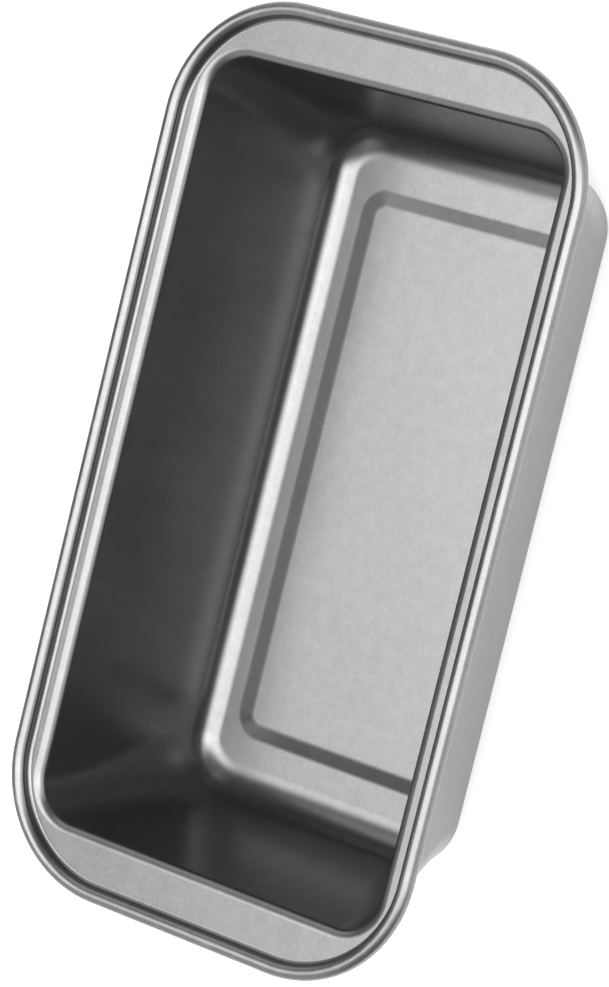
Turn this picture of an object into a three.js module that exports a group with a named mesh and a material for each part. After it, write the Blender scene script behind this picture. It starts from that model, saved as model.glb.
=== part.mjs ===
// Loaf pan with wide end grips: one deep-drawn steel sheet, its edge rolled round a closed wire ring.
// Millimetres, +Z up. The origin is at the centre of the footprint, on the surface the pan stands on.

import * as THREE from 'three';

// Driving dimensions: full lengths along X and full widths along Y.
const OVERALL_LENGTH = 252;
const OVERALL_WIDTH = 131;
const FLANGE_TOP = 61.4;
const SHEET = 0.8;

const OPENING_LENGTH = 216;
const OPENING_WIDTH = 111.2;
const BASE_LENGTH = 198.6;
const BASE_WIDTH = 91.2;
const PANEL_LENGTH = 157.4;
const PANEL_WIDTH = 62.8;
const PANEL_RISE = 1.2;

// Corner radii seen from above, each at the outline of the same name.
const RIM_CORNER = 36;
const OPENING_CORNER = 11.5;
const BASE_CORNER = 16.5;
const PANEL_CORNER = 5.4;

// Radii and slope of the drawn section, at the middle of the sheet's thickness.
const STEP_RADIUS = 5;
const STEP_SLOPE = THREE.MathUtils.degToRad(15);
const END_BASE_RADIUS = 10;
const SIDE_BASE_RADIUS = 7.4;
const MOUTH_RADIUS = 2.5;
const VALLEY_RADIUS = 1.4;

// Rolled rim: outer radius of the roll, height of its centre above the flange, and the turn from its
// outermost point down and under to its lip.
const ROLL_RADIUS = 2.15;
const ROLL_LIFT = 1.5;
const ROLL_LIP = THREE.MathUtils.degToRad(-105);
const WIRE_CLEARANCE = 0.3;

// Facets.
const CORNER_STEPS = 8;
const STEP_STEPS = 2;
const BASE_STEPS = 5;
const MOUTH_STEPS = 5;
const VALLEY_STEPS = 4;
const ROLL_STEPS = 5;
const WIRE_SIDES = 12;

const HALF_SHEET = SHEET / 2;
const QUARTER_TURN = Math.PI / 2;
const rollHeight = FLANGE_TOP + ROLL_LIFT;
const rollMiddle = ROLL_RADIUS - HALF_SHEET;

// A pen that draws the middle line of the sheet outwards from the floor. Each station it leaves holds the
// distance from the centre line (out), the height (up), the heading, and the corner centre of its outline.
class SheetPen {
  constructor(out, up, cornerCentre) {
    this.out = out;
    this.up = up;
    this.heading = 0;
    this.cornerCentre = cornerCentre;
    this.stations = [];
    this.mark();
  }

  mark() {
    const { out, up, heading, cornerCentre } = this;
    this.stations.push({ out, up, heading, cornerCentre });
  }

  line(length, cornerCentre = this.cornerCentre) {
    this.out += length * Math.cos(this.heading);
    this.up += length * Math.sin(this.heading);
    this.cornerCentre = cornerCentre;
    this.mark();
  }

  // A round bend. A positive turn bends the sheet upwards, a negative one downwards.
  bend(radius, turn, steps) {
    const side = Math.sign(turn);
    const centreOut = this.out - side * radius * Math.sin(this.heading);
    const centreUp = this.up + side * radius * Math.cos(this.heading);
    for (let step = 1; step <= steps; step += 1) {
      this.heading += turn / steps;
      this.out = centreOut + side * radius * Math.sin(this.heading);
      this.up = centreUp - side * radius * Math.cos(this.heading);
      this.mark();
    }
  }
}

// Lean of the wall from the vertical, where it runs straight between the base and mouth radii.
function wallLean(run, rise, radii) {
  return Math.acos(radii / Math.hypot(run, rise)) - Math.atan2(rise, run);
}

// The drawn section from the edge of the raised panel to the lip of the rolled rim.
function drawSection({ overall, opening, base, panel, baseRadius }) {
  const stepRun = 2 * STEP_RADIUS * Math.sin(STEP_SLOPE);
  const bendRise = 2 * STEP_RADIUS * (1 - Math.cos(STEP_SLOPE));
  const slopeLength = (PANEL_RISE - bendRise) / Math.sin(STEP_SLOPE);
  const panelEdge = panel / 2 - (stepRun + slopeLength * Math.cos(STEP_SLOPE)) / 2;
  const pen = new SheetPen(panelEdge, HALF_SHEET + PANEL_RISE, panel / 2 - PANEL_CORNER);

  pen.bend(STEP_RADIUS, -STEP_SLOPE, STEP_STEPS);
  pen.line(slopeLength);
  pen.bend(STEP_RADIUS, STEP_SLOPE, STEP_STEPS);

  const baseCentre = base / 2 - HALF_SHEET - baseRadius;
  pen.line(baseCentre - pen.out, base / 2 - BASE_CORNER);

  const mouthCentre = opening / 2 + HALF_SHEET + MOUTH_RADIUS;
  const run = mouthCentre - baseCentre;
  const rise = FLANGE_TOP - HALF_SHEET - MOUTH_RADIUS - (HALF_SHEET + baseRadius);
  const radii = baseRadius + MOUTH_RADIUS;
  const turn = QUARTER_TURN - wallLean(run, rise, radii);
  pen.bend(baseRadius, turn, BASE_STEPS);
  const wallLength = Math.sqrt(run ** 2 + rise ** 2 - radii ** 2);
  pen.line(wallLength, opening / 2 - OPENING_CORNER);
  pen.bend(MOUTH_RADIUS, -turn, MOUTH_STEPS);

  const rollCentre = overall / 2 - ROLL_RADIUS;
  const valleyDrop = ROLL_LIFT + HALF_SHEET - VALLEY_RADIUS;
  const valleyReach = Math.sqrt((rollMiddle + VALLEY_RADIUS) ** 2 - valleyDrop ** 2);
  pen.line(rollCentre - valleyReach - pen.out, overall / 2 - RIM_CORNER);
  const valleyTurn = QUARTER_TURN + Math.atan2(valleyDrop, valleyReach);
  pen.bend(VALLEY_RADIUS, valleyTurn, VALLEY_STEPS);
  pen.bend(rollMiddle, -valleyTurn, ROLL_STEPS);
  pen.bend(rollMiddle, -QUARTER_TURN, ROLL_STEPS);
  pen.bend(rollMiddle, ROLL_LIP, ROLL_STEPS);
  return pen.stations;
}

// One face of the sheet: side is +1 for the inside and top of the pan, -1 for its outside and underside.
function sheetFace(stations, side) {
  return stations.map(({ out, up, heading, cornerCentre }) => ({
    out: out - side * HALF_SHEET * Math.sin(heading),
    up: up + side * HALF_SHEET * Math.cos(heading),
    cornerCentre,
  }));
}

// A round section for the wire, in the middle of the roll.
function wireSection(overall) {
  const radius = ROLL_RADIUS - SHEET - WIRE_CLEARANCE;
  const centre = overall / 2 - ROLL_RADIUS;
  return Array.from({ length: WIRE_SIDES }, (_, index) => {
    const angle = (index / WIRE_SIDES) * 2 * Math.PI;
    return {
      out: centre + radius * Math.cos(angle),
      up: rollHeight - radius * Math.sin(angle),
      cornerCentre: overall / 2 - RIM_CORNER,
    };
  });
}

// The closed outline that a station of the end section and the same station of the side section make:
// four round corners, counter-clockwise from above.
function outline(end, side) {
  const points = [];
  for (let quarter = 0; quarter < 4; quarter += 1) {
    for (let step = 0; step <= CORNER_STEPS; step += 1) {
      const angle = (quarter + step / CORNER_STEPS) * QUARTER_TURN;
      const alongX = quarter === 0 || quarter === 3 ? 1 : -1;
      const alongY = quarter < 2 ? 1 : -1;
      const share = Math.sin(angle) ** 2;
      points.push(
        alongX * end.cornerCentre + (end.out - end.cornerCentre) * Math.cos(angle),
        alongY * side.cornerCentre + (side.out - side.cornerCentre) * Math.sin(angle),
        THREE.MathUtils.lerp(end.up, side.up, share),
      );
    }
  }
  return points;
}

// A closed body through the outlines, in order. A ring joins its last outline to its first; otherwise a fan
// from the centre line closes the first outline and the last.
function loft(endSection, sideSection, isRing) {
  const around = 4 * (CORNER_STEPS + 1);
  const count = endSection.length;
  const positions = endSection.flatMap((station, index) => outline(station, sideSection[index]));
  const triangles = [];
  const strips = isRing ? count : count - 1;
  for (let strip = 0; strip < strips; strip += 1) {
    const inner = strip * around;
    const outer = ((strip + 1) % count) * around;
    for (let index = 0; index < around; index += 1) {
      const next = (index + 1) % around;
      triangles.push(inner + index, outer + index, outer + next);
      triangles.push(inner + index, outer + next, inner + next);
    }
  }
  if (!isRing) {
    const firstCentre = count * around;
    const lastCentre = firstCentre + 1;
    const lastOutline = (count - 1) * around;
    positions.push(0, 0, endSection[0].up, 0, 0, endSection[count - 1].up);
    for (let index = 0; index < around; index += 1) {
      const next = (index + 1) % around;
      triangles.push(firstCentre, index, next);
      triangles.push(lastCentre, lastOutline + next, lastOutline + index);
    }
  }
  const geometry = new THREE.BufferGeometry();
  geometry.setAttribute('position', new THREE.Float32BufferAttribute(positions, 3));
  geometry.setIndex(triangles);
  geometry.computeVertexNormals();
  return geometry;
}

// The whole pan but its wire: floor with raised panel, walls, end grips, side flanges and rolled rim.
function makePanBody() {
  const endStations = drawSection({
    overall: OVERALL_LENGTH,
    opening: OPENING_LENGTH,
    base: BASE_LENGTH,
    panel: PANEL_LENGTH,
    baseRadius: END_BASE_RADIUS,
  });
  const sideStations = drawSection({
    overall: OVERALL_WIDTH,
    opening: OPENING_WIDTH,
    base: BASE_WIDTH,
    panel: PANEL_WIDTH,
    baseRadius: SIDE_BASE_RADIUS,
  });
  const insideThenOutside = (stations) => [
    ...sheetFace(stations, 1),
    ...sheetFace(stations, -1).reverse(),
  ];
  const geometry = loft(insideThenOutside(endStations), insideThenOutside(sideStations), false);
  const coating = new THREE.MeshStandardMaterial({ color: 0x8b8c8e, roughness: 0.38, metalness: 0.9 });
  const mesh = new THREE.Mesh(geometry, coating);
  mesh.name = 'pan_body';
  return mesh;
}

// The closed steel wire ring that stiffens the rim.
function makeRimWire() {
  const geometry = loft(wireSection(OVERALL_LENGTH), wireSection(OVERALL_WIDTH), true);
  const steel = new THREE.MeshStandardMaterial({ color: 0xb4b6b8, roughness: 0.45, metalness: 1 });
  const mesh = new THREE.Mesh(geometry, steel);
  mesh.name = 'rim_wire';
  return mesh;
}

const loafPan = new THREE.Group();
loafPan.add(makePanBody(), makeRimWire());

export default loafPan;
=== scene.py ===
"""Loaf pan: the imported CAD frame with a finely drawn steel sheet, its coating, its wire, and a studio."""

import math

import bpy
import numpy as np
from mathutils import Matrix, Vector


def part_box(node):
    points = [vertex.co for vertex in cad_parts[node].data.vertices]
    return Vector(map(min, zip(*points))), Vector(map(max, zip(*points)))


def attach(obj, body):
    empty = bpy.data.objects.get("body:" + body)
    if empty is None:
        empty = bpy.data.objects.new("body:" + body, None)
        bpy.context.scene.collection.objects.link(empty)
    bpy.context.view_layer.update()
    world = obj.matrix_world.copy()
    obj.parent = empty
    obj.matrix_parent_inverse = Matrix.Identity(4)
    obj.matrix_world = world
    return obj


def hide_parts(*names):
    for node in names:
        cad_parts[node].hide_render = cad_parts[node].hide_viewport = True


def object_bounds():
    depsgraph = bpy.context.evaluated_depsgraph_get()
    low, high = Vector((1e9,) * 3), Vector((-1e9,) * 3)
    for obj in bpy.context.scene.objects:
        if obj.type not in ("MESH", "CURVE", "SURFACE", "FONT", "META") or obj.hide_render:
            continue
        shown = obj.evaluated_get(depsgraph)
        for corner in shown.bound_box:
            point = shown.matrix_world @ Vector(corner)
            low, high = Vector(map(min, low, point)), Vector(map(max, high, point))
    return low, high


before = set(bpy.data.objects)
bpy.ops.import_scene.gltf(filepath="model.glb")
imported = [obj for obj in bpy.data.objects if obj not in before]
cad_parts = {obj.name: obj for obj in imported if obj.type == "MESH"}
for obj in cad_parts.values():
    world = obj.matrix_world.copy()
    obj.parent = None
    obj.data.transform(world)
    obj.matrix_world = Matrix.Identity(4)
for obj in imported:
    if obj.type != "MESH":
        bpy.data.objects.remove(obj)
cad_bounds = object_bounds()

MM = 0.001
QUARTER_TURN = math.pi / 2
pan_low, pan_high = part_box("pan_body")
OVERALL_LENGTH = pan_high.x - pan_low.x
OVERALL_WIDTH = pan_high.y - pan_low.y
RIM_TOP = pan_high.z

# The drawn section's driving dimensions, the same as the CAD pan's.
SHEET = 0.8 * MM
OPENING_LENGTH = 216 * MM
OPENING_WIDTH = 111.2 * MM
BASE_LENGTH = 198.6 * MM
BASE_WIDTH = 91.2 * MM
PANEL_LENGTH = 157.4 * MM
PANEL_WIDTH = 62.8 * MM
PANEL_RISE = 1.2 * MM
RIM_CORNER = 36 * MM
OPENING_CORNER = 11.5 * MM
BASE_CORNER = 16.5 * MM
PANEL_CORNER = 5.4 * MM
STEP_RADIUS = 5 * MM
STEP_SLOPE = math.radians(15)
END_BASE_RADIUS = 10 * MM
SIDE_BASE_RADIUS = 7.4 * MM
MOUTH_RADIUS = 2.5 * MM
VALLEY_RADIUS = 1.4 * MM
ROLL_RADIUS = 2.15 * MM
ROLL_LIFT = 1.5 * MM
ROLL_LIP = math.radians(-105)
WIRE_CLEARANCE = 0.3 * MM

HALF_SHEET = SHEET / 2
ROLL_MIDDLE = ROLL_RADIUS - HALF_SHEET
FLANGE_TOP = RIM_TOP - ROLL_RADIUS - ROLL_LIFT
ROLL_HEIGHT = FLANGE_TOP + ROLL_LIFT

# Fineness of the surface.
CORNER_STEPS = 24
LONG_SIDE_STEPS = 16
SHORT_SIDE_STEPS = 8
STEP_STEPS = 10
BASE_STEPS = 16
WALL_STEPS = 14
MOUTH_STEPS = 14
VALLEY_STEPS = 10
ROLL_STEPS = 14
FLAT_STEPS = 3
WIRE_SIDES = 20


def lerp(a, b, share):
    return a + (b - a) * share


# ---------------------------------------------------------------- the drawn section


class SheetPen:
    """Draws the middle line of the sheet outwards from the floor. A station is its distance from the
    centre line, its height, its heading, the corner centre of its outline and that centre's drift."""

    def __init__(self, out, up, centre):
        self.out = out
        self.up = up
        self.centre = centre
        self.heading = 0.0
        self.drift = 0.0
        self.stations = []
        self.mark()

    def mark(self):
        self.stations.append((self.out, self.up, self.heading, self.centre, self.drift))

    def line(self, length, centre=None, steps=1, eased=False):
        """A straight run. The corner centre moves to its new place evenly, or eased at both ends. Its
        drift is noted only where it is eased: the other runs are flat, and it doesn't tilt them."""
        centre = self.centre if centre is None else centre
        start = (self.out, self.up, self.centre)
        for step in range(1, steps + 1):
            share = step / steps
            moved = share * share * (3 - 2 * share) if eased else share
            pace = 6 * share * (1 - share) if eased else 0.0
            self.out = start[0] + length * share * math.cos(self.heading)
            self.up = start[1] + length * share * math.sin(self.heading)
            self.centre = lerp(start[2], centre, moved)
            self.drift = (centre - start[2]) / length * pace
            self.mark()
        self.drift = 0.0

    def bend(self, radius, turn, steps):
        """A round bend: a positive turn goes upwards, a negative one downwards."""
        side = math.copysign(1, turn)
        centre_out = self.out - side * radius * math.sin(self.heading)
        centre_up = self.up + side * radius * math.cos(self.heading)
        for _ in range(steps):
            self.heading += turn / steps
            self.out = centre_out + side * radius * math.sin(self.heading)
            self.up = centre_up - side * radius * math.cos(self.heading)
            self.mark()


def draw_section(overall, opening, base, panel, base_radius):
    """The sheet's middle line from the edge of the raised panel to the lip of the rolled rim."""
    step_run = 2 * STEP_RADIUS * math.sin(STEP_SLOPE)
    bend_rise = 2 * STEP_RADIUS * (1 - math.cos(STEP_SLOPE))
    slope = (PANEL_RISE - bend_rise) / math.sin(STEP_SLOPE)
    panel_edge = panel / 2 - (step_run + slope * math.cos(STEP_SLOPE)) / 2
    pen = SheetPen(panel_edge, HALF_SHEET + PANEL_RISE, panel / 2 - PANEL_CORNER)
    pen.bend(STEP_RADIUS, -STEP_SLOPE, STEP_STEPS)
    pen.line(slope)
    pen.bend(STEP_RADIUS, STEP_SLOPE, STEP_STEPS)

    base_centre = base / 2 - HALF_SHEET - base_radius
    pen.line(base_centre - pen.out, base / 2 - BASE_CORNER, FLAT_STEPS)

    mouth_centre = opening / 2 + HALF_SHEET + MOUTH_RADIUS
    run = mouth_centre - base_centre
    rise = FLANGE_TOP - SHEET - MOUTH_RADIUS - base_radius
    reach = math.hypot(run, rise)
    lean = math.acos((base_radius + MOUTH_RADIUS) / reach) - math.atan2(rise, run)
    turn = QUARTER_TURN - lean
    pen.bend(base_radius, turn, BASE_STEPS)
    wall = math.sqrt(reach**2 - (base_radius + MOUTH_RADIUS) ** 2)
    pen.line(wall, opening / 2 - OPENING_CORNER, WALL_STEPS, eased=True)
    pen.bend(MOUTH_RADIUS, -turn, MOUTH_STEPS)

    valley_drop = ROLL_LIFT + HALF_SHEET - VALLEY_RADIUS
    valley_reach = math.sqrt((ROLL_MIDDLE + VALLEY_RADIUS) ** 2 - valley_drop**2)
    flange = overall / 2 - ROLL_RADIUS - valley_reach - pen.out
    pen.line(flange, overall / 2 - RIM_CORNER, FLAT_STEPS)
    valley_turn = QUARTER_TURN + math.atan2(valley_drop, valley_reach)
    pen.bend(VALLEY_RADIUS, valley_turn, VALLEY_STEPS)
    pen.bend(ROLL_MIDDLE, -valley_turn, ROLL_STEPS)
    pen.bend(ROLL_MIDDLE, -QUARTER_TURN, ROLL_STEPS)
    pen.bend(ROLL_MIDDLE, ROLL_LIP, ROLL_STEPS)
    return np.array(pen.stations)


def walk_round():
    """Where the points of an outline lie: the turn from +X, and the signs of X and Y of the corner it
    belongs to, or of a point between two corners. Counter-clockwise from above."""
    signs = ((1, 1), (-1, 1), (-1, -1), (1, -1))
    places = []
    for quarter, (x_sign, y_sign) in enumerate(signs):
        next_x, next_y = signs[(quarter + 1) % 4]
        for step in range(CORNER_STEPS + 1):
            places.append(((quarter + step / CORNER_STEPS) * QUARTER_TURN, x_sign, y_sign))
        straight = LONG_SIDE_STEPS if quarter % 2 == 0 else SHORT_SIDE_STEPS
        for step in range(1, straight):
            share = step / straight
            x_between = lerp(x_sign, next_x, share)
            y_between = lerp(y_sign, next_y, share)
            places.append(((quarter + 1) * QUARTER_TURN, x_between, y_between))
    return np.array(places)


PLACES = walk_round()


def outline_grid(end, side):
    """Points of the lofted surface, and its normals towards the inside of the pan, a row a station."""
    turn, x_sign, y_sign = PLACES.T
    cos = np.cos(turn)
    sin = np.sin(turn)
    e_out, e_up, e_head, e_centre, e_drift = (column[:, None] for column in end.T)
    s_out, s_up, s_head, s_centre, s_drift = (column[:, None] for column in side.T)
    x = x_sign * e_centre + (e_out - e_centre) * cos
    y = y_sign * s_centre + (s_out - s_centre) * sin
    z = lerp(e_up, s_up, sin**2)
    along = np.stack([
        (x_sign - cos) * e_drift + np.cos(e_head) * cos,
        (y_sign - sin) * s_drift + np.cos(s_head) * sin,
        lerp(np.sin(e_head), np.sin(s_head), sin**2),
    ], axis=-1)
    across = np.stack([
        -(e_out - e_centre) * sin,
        (s_out - s_centre) * cos,
        2 * (s_up - e_up) * sin * cos,
    ], axis=-1)
    normals = np.cross(along, across)
    normals /= np.linalg.norm(normals, axis=-1, keepdims=True)
    return np.stack([x, y, z], axis=-1), normals


def sheet_face(stations, side):
    """One face of the sheet: side is +1 for the inside and top of the pan, -1 for its underside."""
    face = stations.copy()
    face[:, 0] -= side * HALF_SHEET * np.sin(stations[:, 2])
    face[:, 1] += side * HALF_SHEET * np.cos(stations[:, 2])
    return face


def strips(rows, around, flip=False):
    """Quads that join each row of a grid to the next."""
    quads = []
    for row in range(rows - 1):
        for index in range(around):
            after = (index + 1) % around
            quad = (
                row * around + index,
                (row + 1) * around + index,
                (row + 1) * around + after,
                row * around + after,
            )
            quads.append(quad[::-1] if flip else quad)
    return quads


def new_object(name, points, faces, material):
    mesh = bpy.data.meshes.new(name)
    mesh.from_pydata([tuple(point) for point in points], [], faces)
    mesh.materials.append(material)
    mesh.polygons.foreach_set("use_smooth", [True] * len(mesh.polygons))
    mesh.update()
    piece = bpy.data.objects.new(name, mesh)
    bpy.context.scene.collection.objects.link(piece)
    return piece


def make_pan(material):
    """The whole pan but its wire, as one closed sheet with exact normals on both faces."""
    end = draw_section(OVERALL_LENGTH, OPENING_LENGTH, BASE_LENGTH, PANEL_LENGTH, END_BASE_RADIUS)
    side = draw_section(OVERALL_WIDTH, OPENING_WIDTH, BASE_WIDTH, PANEL_WIDTH, SIDE_BASE_RADIUS)
    top, normals = outline_grid(sheet_face(end, 1), sheet_face(side, 1))
    under, _ = outline_grid(sheet_face(end, -1), sheet_face(side, -1))
    rows, around = top.shape[:2]
    count = rows * around
    points = np.concatenate([top.reshape(-1, 3), under.reshape(-1, 3)])
    point_normals = np.concatenate([normals.reshape(-1, 3), -normals.reshape(-1, 3)])

    faces = strips(rows, around)
    faces += [tuple(corner + count for corner in quad) for quad in strips(rows, around, flip=True)]
    top_panel = tuple(range(around))
    under_panel = tuple(range(count + around - 1, count - 1, -1))
    faces += [top_panel, under_panel]
    smooth_faces = len(faces)
    top_lip = count - around
    under_lip = top_lip + count
    for index in range(around):
        after = (index + 1) % around
        faces.append((top_lip + index, under_lip + index, under_lip + after, top_lip + after))
    pan = new_object("coated_pan", points, faces, material)

    loop_normals = np.empty((len(pan.data.loops), 3))
    for number, polygon in enumerate(pan.data.polygons):
        for loop in polygon.loop_indices:
            if number < smooth_faces:
                loop_normals[loop] = point_normals[pan.data.loops[loop].vertex_index]
            else:
                loop_normals[loop] = polygon.normal
    pan.data.normals_split_custom_set(loop_normals.tolist())
    return pan


def make_wire(material):
    """The closed wire ring in the middle of the roll."""
    radius = ROLL_RADIUS - SHEET - WIRE_CLEARANCE
    angles = [2 * math.pi * index / WIRE_SIDES for index in range(WIRE_SIDES + 1)]

    def section(overall):
        centre = overall / 2 - RIM_CORNER
        middle = overall / 2 - ROLL_RADIUS
        return np.array([
            (middle + radius * math.cos(a), ROLL_HEIGHT - radius * math.sin(a), 0, centre, 0)
            for a in angles
        ])

    points, _ = outline_grid(section(OVERALL_LENGTH), section(OVERALL_WIDTH))
    around = points.shape[1]
    quads = strips(WIRE_SIDES + 1, around)
    ring = WIRE_SIDES * around
    faces = [tuple(corner % ring for corner in quad) for quad in quads]
    return new_object("rim_wire_ring", points[:-1].reshape(-1, 3), faces, material)


# ---------------------------------------------------------------- materials

# The coating's finish: how rough it is, and how much rougher and lighter where it is worn. It wears along
# the crest of the roll and the foot, down to these depths.
COATING_ROUGHNESS = 0.26
WORN_ROUGHNESS = 0.12
WORN_SHADE = 0.25
CREST_WEAR = 0.5 * MM
FOOT_WEAR = 0.6 * MM

# Heights of the coating's fleck and of its slow waves.
FLECK_HEIGHT = 0.012 * MM
WAVE_HEIGHT = 0.05 * MM


class Nodes:
    """Short calls for building one material's node tree."""

    def __init__(self, name):
        self.material = bpy.data.materials.new(name)
        self.material.use_nodes = True
        self.tree = self.material.node_tree
        self.shader = self.tree.nodes["Principled BSDF"]
        self.place = self.tree.nodes.new("ShaderNodeTexCoord").outputs["Object"]

    def link(self, source, target):
        self.tree.links.new(source, target)

    def noise(self, scale, detail, roughness=0.5, stretch=None):
        node = self.tree.nodes.new("ShaderNodeTexNoise")
        node.inputs["Scale"].default_value = scale
        node.inputs["Detail"].default_value = detail
        node.inputs["Roughness"].default_value = roughness
        place = self.place
        if stretch:
            mapping = self.tree.nodes.new("ShaderNodeMapping")
            mapping.inputs["Scale"].default_value = stretch
            self.link(place, mapping.inputs["Vector"])
            place = mapping.outputs["Vector"]
        self.link(place, node.inputs["Vector"])
        return node.outputs["Fac"]

    def remap(self, value, low, high, new_low, new_high):
        node = self.tree.nodes.new("ShaderNodeMapRange")
        self.link(value, node.inputs["Value"])
        node.inputs["From Min"].default_value = low
        node.inputs["From Max"].default_value = high
        node.inputs["To Min"].default_value = new_low
        node.inputs["To Max"].default_value = new_high
        return node.outputs["Result"]

    def combine(self, operation, a, b):
        node = self.tree.nodes.new("ShaderNodeMath")
        node.operation = operation
        for socket, value in zip(node.inputs, (a, b)):
            if isinstance(value, (int, float)):
                socket.default_value = value
            else:
                self.link(value, socket)
        return node.outputs["Value"]

    def ramp(self, value, stops):
        node = self.tree.nodes.new("ShaderNodeValToRGB")
        elements = node.color_ramp.elements
        while len(elements) < len(stops):
            elements.new(0.5)
        for element, (position, shade) in zip(elements, stops):
            element.position = position
            element.color = (*shade, 1)
        self.link(value, node.inputs["Fac"])
        return node.outputs["Color"]

    def height(self):
        node = self.tree.nodes.new("ShaderNodeSeparateXYZ")
        self.link(self.place, node.inputs["Vector"])
        return node.outputs["Z"]

    def bump(self, height, distance, strength, normal=None):
        node = self.tree.nodes.new("ShaderNodeBump")
        node.inputs["Strength"].default_value = strength
        node.inputs["Distance"].default_value = distance
        self.link(height, node.inputs["Height"])
        if normal:
            self.link(normal, node.inputs["Normal"])
        return node.outputs["Normal"]


def coating_material():
    """Satin metallic grey non-stick coating: fine fleck, faint clouding, draw streaks, worn crests."""
    nodes = Nodes("nonstick_coating")
    shader = nodes.shader
    shader.inputs["Metallic"].default_value = 0.93
    cloud = nodes.noise(34, detail=4, roughness=0.55)
    fleck = nodes.noise(1900, detail=2, roughness=0.6)
    streak = nodes.noise(1, detail=3, roughness=0.6, stretch=(260, 260, 9))
    scuff = nodes.remap(nodes.noise(150, detail=5, roughness=0.7), 0.50, 0.66, 0, 1)
    height = nodes.height()
    crest = nodes.remap(height, RIM_TOP - CREST_WEAR, RIM_TOP, 0, 1)
    foot = nodes.remap(height, FOOT_WEAR, 0, 0, 1)
    wear = nodes.combine("MULTIPLY", nodes.combine("ADD", crest, foot), scuff)

    flecks = nodes.combine("MULTIPLY", fleck, 0.4)
    streaks = nodes.combine("MULTIPLY", streak, 0.3)
    clouds = nodes.combine("MULTIPLY", cloud, 0.3)
    mixed = nodes.combine("ADD", clouds, nodes.combine("ADD", flecks, streaks))
    worn = nodes.combine("ADD", mixed, nodes.combine("MULTIPLY", wear, WORN_SHADE))
    shade = nodes.ramp(worn, (
        (0.30, (0.132, 0.132, 0.132)),
        (0.50, (0.156, 0.156, 0.156)),
        (0.70, (0.182, 0.182, 0.182)),
        (0.95, (0.270, 0.269, 0.267)),
    ))
    nodes.link(shade, shader.inputs["Base Color"])
    unworn = nodes.remap(cloud, 0.3, 0.7, COATING_ROUGHNESS - 0.02, COATING_ROUGHNESS + 0.03)
    roughness = nodes.combine("ADD", unworn, nodes.combine("MULTIPLY", wear, WORN_ROUGHNESS))
    nodes.link(roughness, shader.inputs["Roughness"])
    fine = nodes.bump(fleck, FLECK_HEIGHT, 0.5)
    wave = nodes.bump(nodes.noise(55, detail=2), WAVE_HEIGHT, 0.3, fine)
    nodes.link(wave, shader.inputs["Normal"])
    return nodes.material


def wire_material():
    """Plain drawn steel wire, dull, with a fine grain."""
    nodes = Nodes("plain_steel_wire")
    shader = nodes.shader
    shader.inputs["Metallic"].default_value = 1.0
    fine = nodes.noise(900, detail=3)
    shade = nodes.ramp(fine, ((0.3, (0.42, 0.42, 0.42)), (0.7, (0.60, 0.60, 0.61))))
    nodes.link(shade, shader.inputs["Base Color"])
    nodes.link(nodes.remap(fine, 0.3, 0.7, 0.38, 0.55), shader.inputs["Roughness"])
    nodes.link(nodes.bump(fine, 0.03 * MM, 0.4), shader.inputs["Normal"])
    return nodes.material


# ---------------------------------------------------------------- studio

# The strip light: the direction of its middle, the angles along it at which it begins and is full, the
# same across it, measured from the plane it runs in, and its strength.
STRIP_MIDDLE = (0, -0.14, 1)
STRIP_ALONG = (52, 22)
STRIP_ACROSS = (34, 10)
STRIP_STRENGTH = 5.6

# Other soft light in the room: the direction it comes from, the angles from there at which it begins
# and is full, and its strength.
ROOM_LIGHTS = (
    ((0.17, -0.87, 0.50), 42, 12, 2.2),
    ((-0.6, 0.4, 0.2), 50, 10, 1.0),
    ((0.8, 0.5, 0.2), 40, 10, 0.9),
    ((0, 0, 1), 180, 0, 0.45),
)
FLOOR_GLOW = 0.05


def make_floor():
    """A plain pale sheet at the height the pan stands on, lit softly from below as on a light table."""
    half = 4.0
    corners = [(-half, -half, 0), (half, -half, 0), (half, half, 0), (-half, half, 0)]
    nodes = Nodes("pale_floor")
    nodes.shader.inputs["Roughness"].default_value = 0.9
    nodes.shader.inputs["Specular IOR Level"].default_value = 0.2
    tone = nodes.noise(3, detail=2)
    shade = nodes.ramp(tone, ((0, (0.90, 0.90, 0.90)), (1, (0.93, 0.93, 0.93))))
    nodes.link(shade, nodes.shader.inputs["Base Color"])
    nodes.shader.inputs["Emission Color"].default_value = (1, 1, 1, 1)
    nodes.shader.inputs["Emission Strength"].default_value = FLOOR_GLOW
    floor = new_object("studio_floor", corners, [(0, 1, 2, 3)], nodes.material)
    floor.location.z = cad_bounds[0].z


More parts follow.
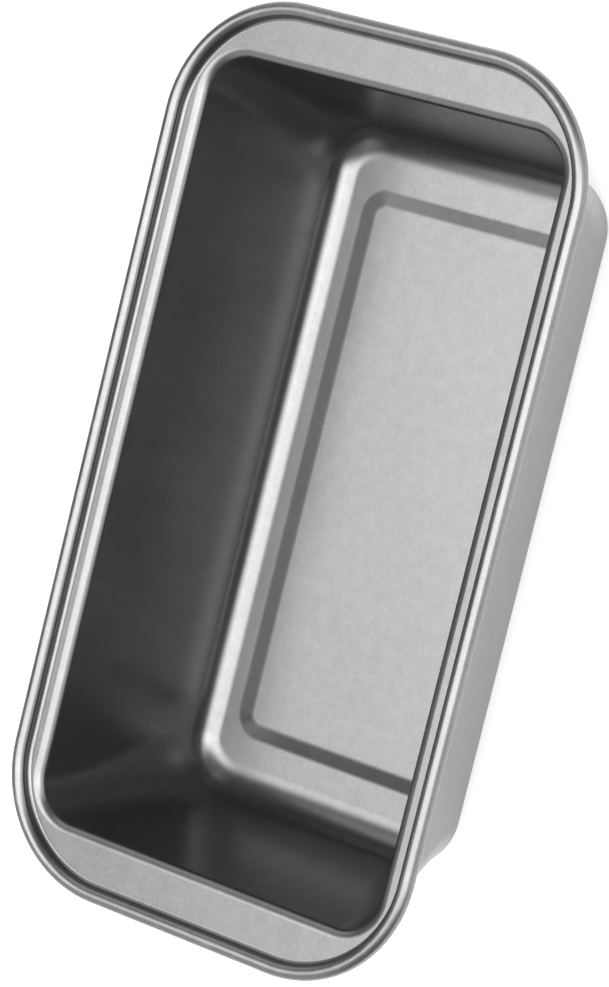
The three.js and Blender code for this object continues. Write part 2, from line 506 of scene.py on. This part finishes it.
def make_world():
    """Soft studio light: a long strip of it overhead, reaching down behind the camera, in a dim room."""
    world = bpy.data.worlds.new("soft_studio")
    world.use_nodes = True
    tree = world.node_tree
    nodes, links = tree.nodes, tree.links
    place = nodes.new("ShaderNodeTexCoord").outputs["Generated"]

    def facing(direction):
        node = nodes.new("ShaderNodeVectorMath")
        node.operation = "DOT_PRODUCT"
        links.new(place, node.inputs[0])
        node.inputs[1].default_value = Vector(direction).normalized()
        return node.outputs["Value"]

    def combine(operation, a, b=None):
        node = nodes.new("ShaderNodeMath")
        node.operation = operation
        links.new(a, node.inputs[0])
        if b:
            links.new(b, node.inputs[1])
        return node.outputs["Value"]

    def fade(value, start, end, strength):
        """No light at the start angle's cosine, all of it at the end angle's."""
        node = nodes.new("ShaderNodeMapRange")
        node.interpolation_type = "SMOOTHSTEP"
        links.new(value, node.inputs["Value"])
        node.inputs["From Min"].default_value = math.cos(math.radians(start))
        node.inputs["From Max"].default_value = math.cos(math.radians(end))
        node.inputs["To Max"].default_value = strength
        return node.outputs["Result"]

    along = fade(facing(STRIP_MIDDLE), *STRIP_ALONG, STRIP_STRENGTH)
    sideways = combine("ABSOLUTE", facing((1, 0, 0)))
    across = fade(sideways, *(90 - angle for angle in STRIP_ACROSS), 1)
    total = combine("MULTIPLY", along, across)
    for direction, start, end, strength in ROOM_LIGHTS:
        total = combine("ADD", total, fade(facing(direction), start, end, strength))
    background = nodes["Background"]
    links.new(total, background.inputs["Strength"])
    background.inputs["Color"].default_value = (1, 1, 1, 1)
    bpy.context.scene.world = world


def make_camera():
    """Looks down on the pan from its long side, with its length running up the picture."""
    azimuth = math.radians(13.97)
    elevation = math.radians(59.37)
    roll = math.radians(-88.27)
    distance = 0.9682
    target = Vector((0.0001, -0.0046, FLANGE_TOP))
    back = Vector((
        math.sin(azimuth) * math.cos(elevation),
        -math.cos(azimuth) * math.cos(elevation),
        math.sin(elevation),
    ))
    level_right = Vector((math.cos(azimuth), math.sin(azimuth), 0))
    level_up = back.cross(level_right)
    right = level_right * math.cos(roll) + level_up * math.sin(roll)
    up = back.cross(right)
    data = bpy.data.cameras.new("camera")
    data.sensor_width = 36
    data.lens = 132.6
    data.clip_end = 20
    camera = bpy.data.objects.new("camera", data)
    turn = Matrix((right, up, back)).transposed().to_4x4()
    camera.matrix_world = Matrix.Translation(target + back * distance) @ turn
    bpy.context.scene.collection.objects.link(camera)
    bpy.context.scene.camera = camera


make_camera()
pan = make_pan(coating_material())
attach(pan, "root")
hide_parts("pan_body")
wire = make_wire(wire_material())
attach(wire, "root")
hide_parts("rim_wire")
make_floor()
make_world()
bpy.context.scene.view_settings.view_transform = "Standard"
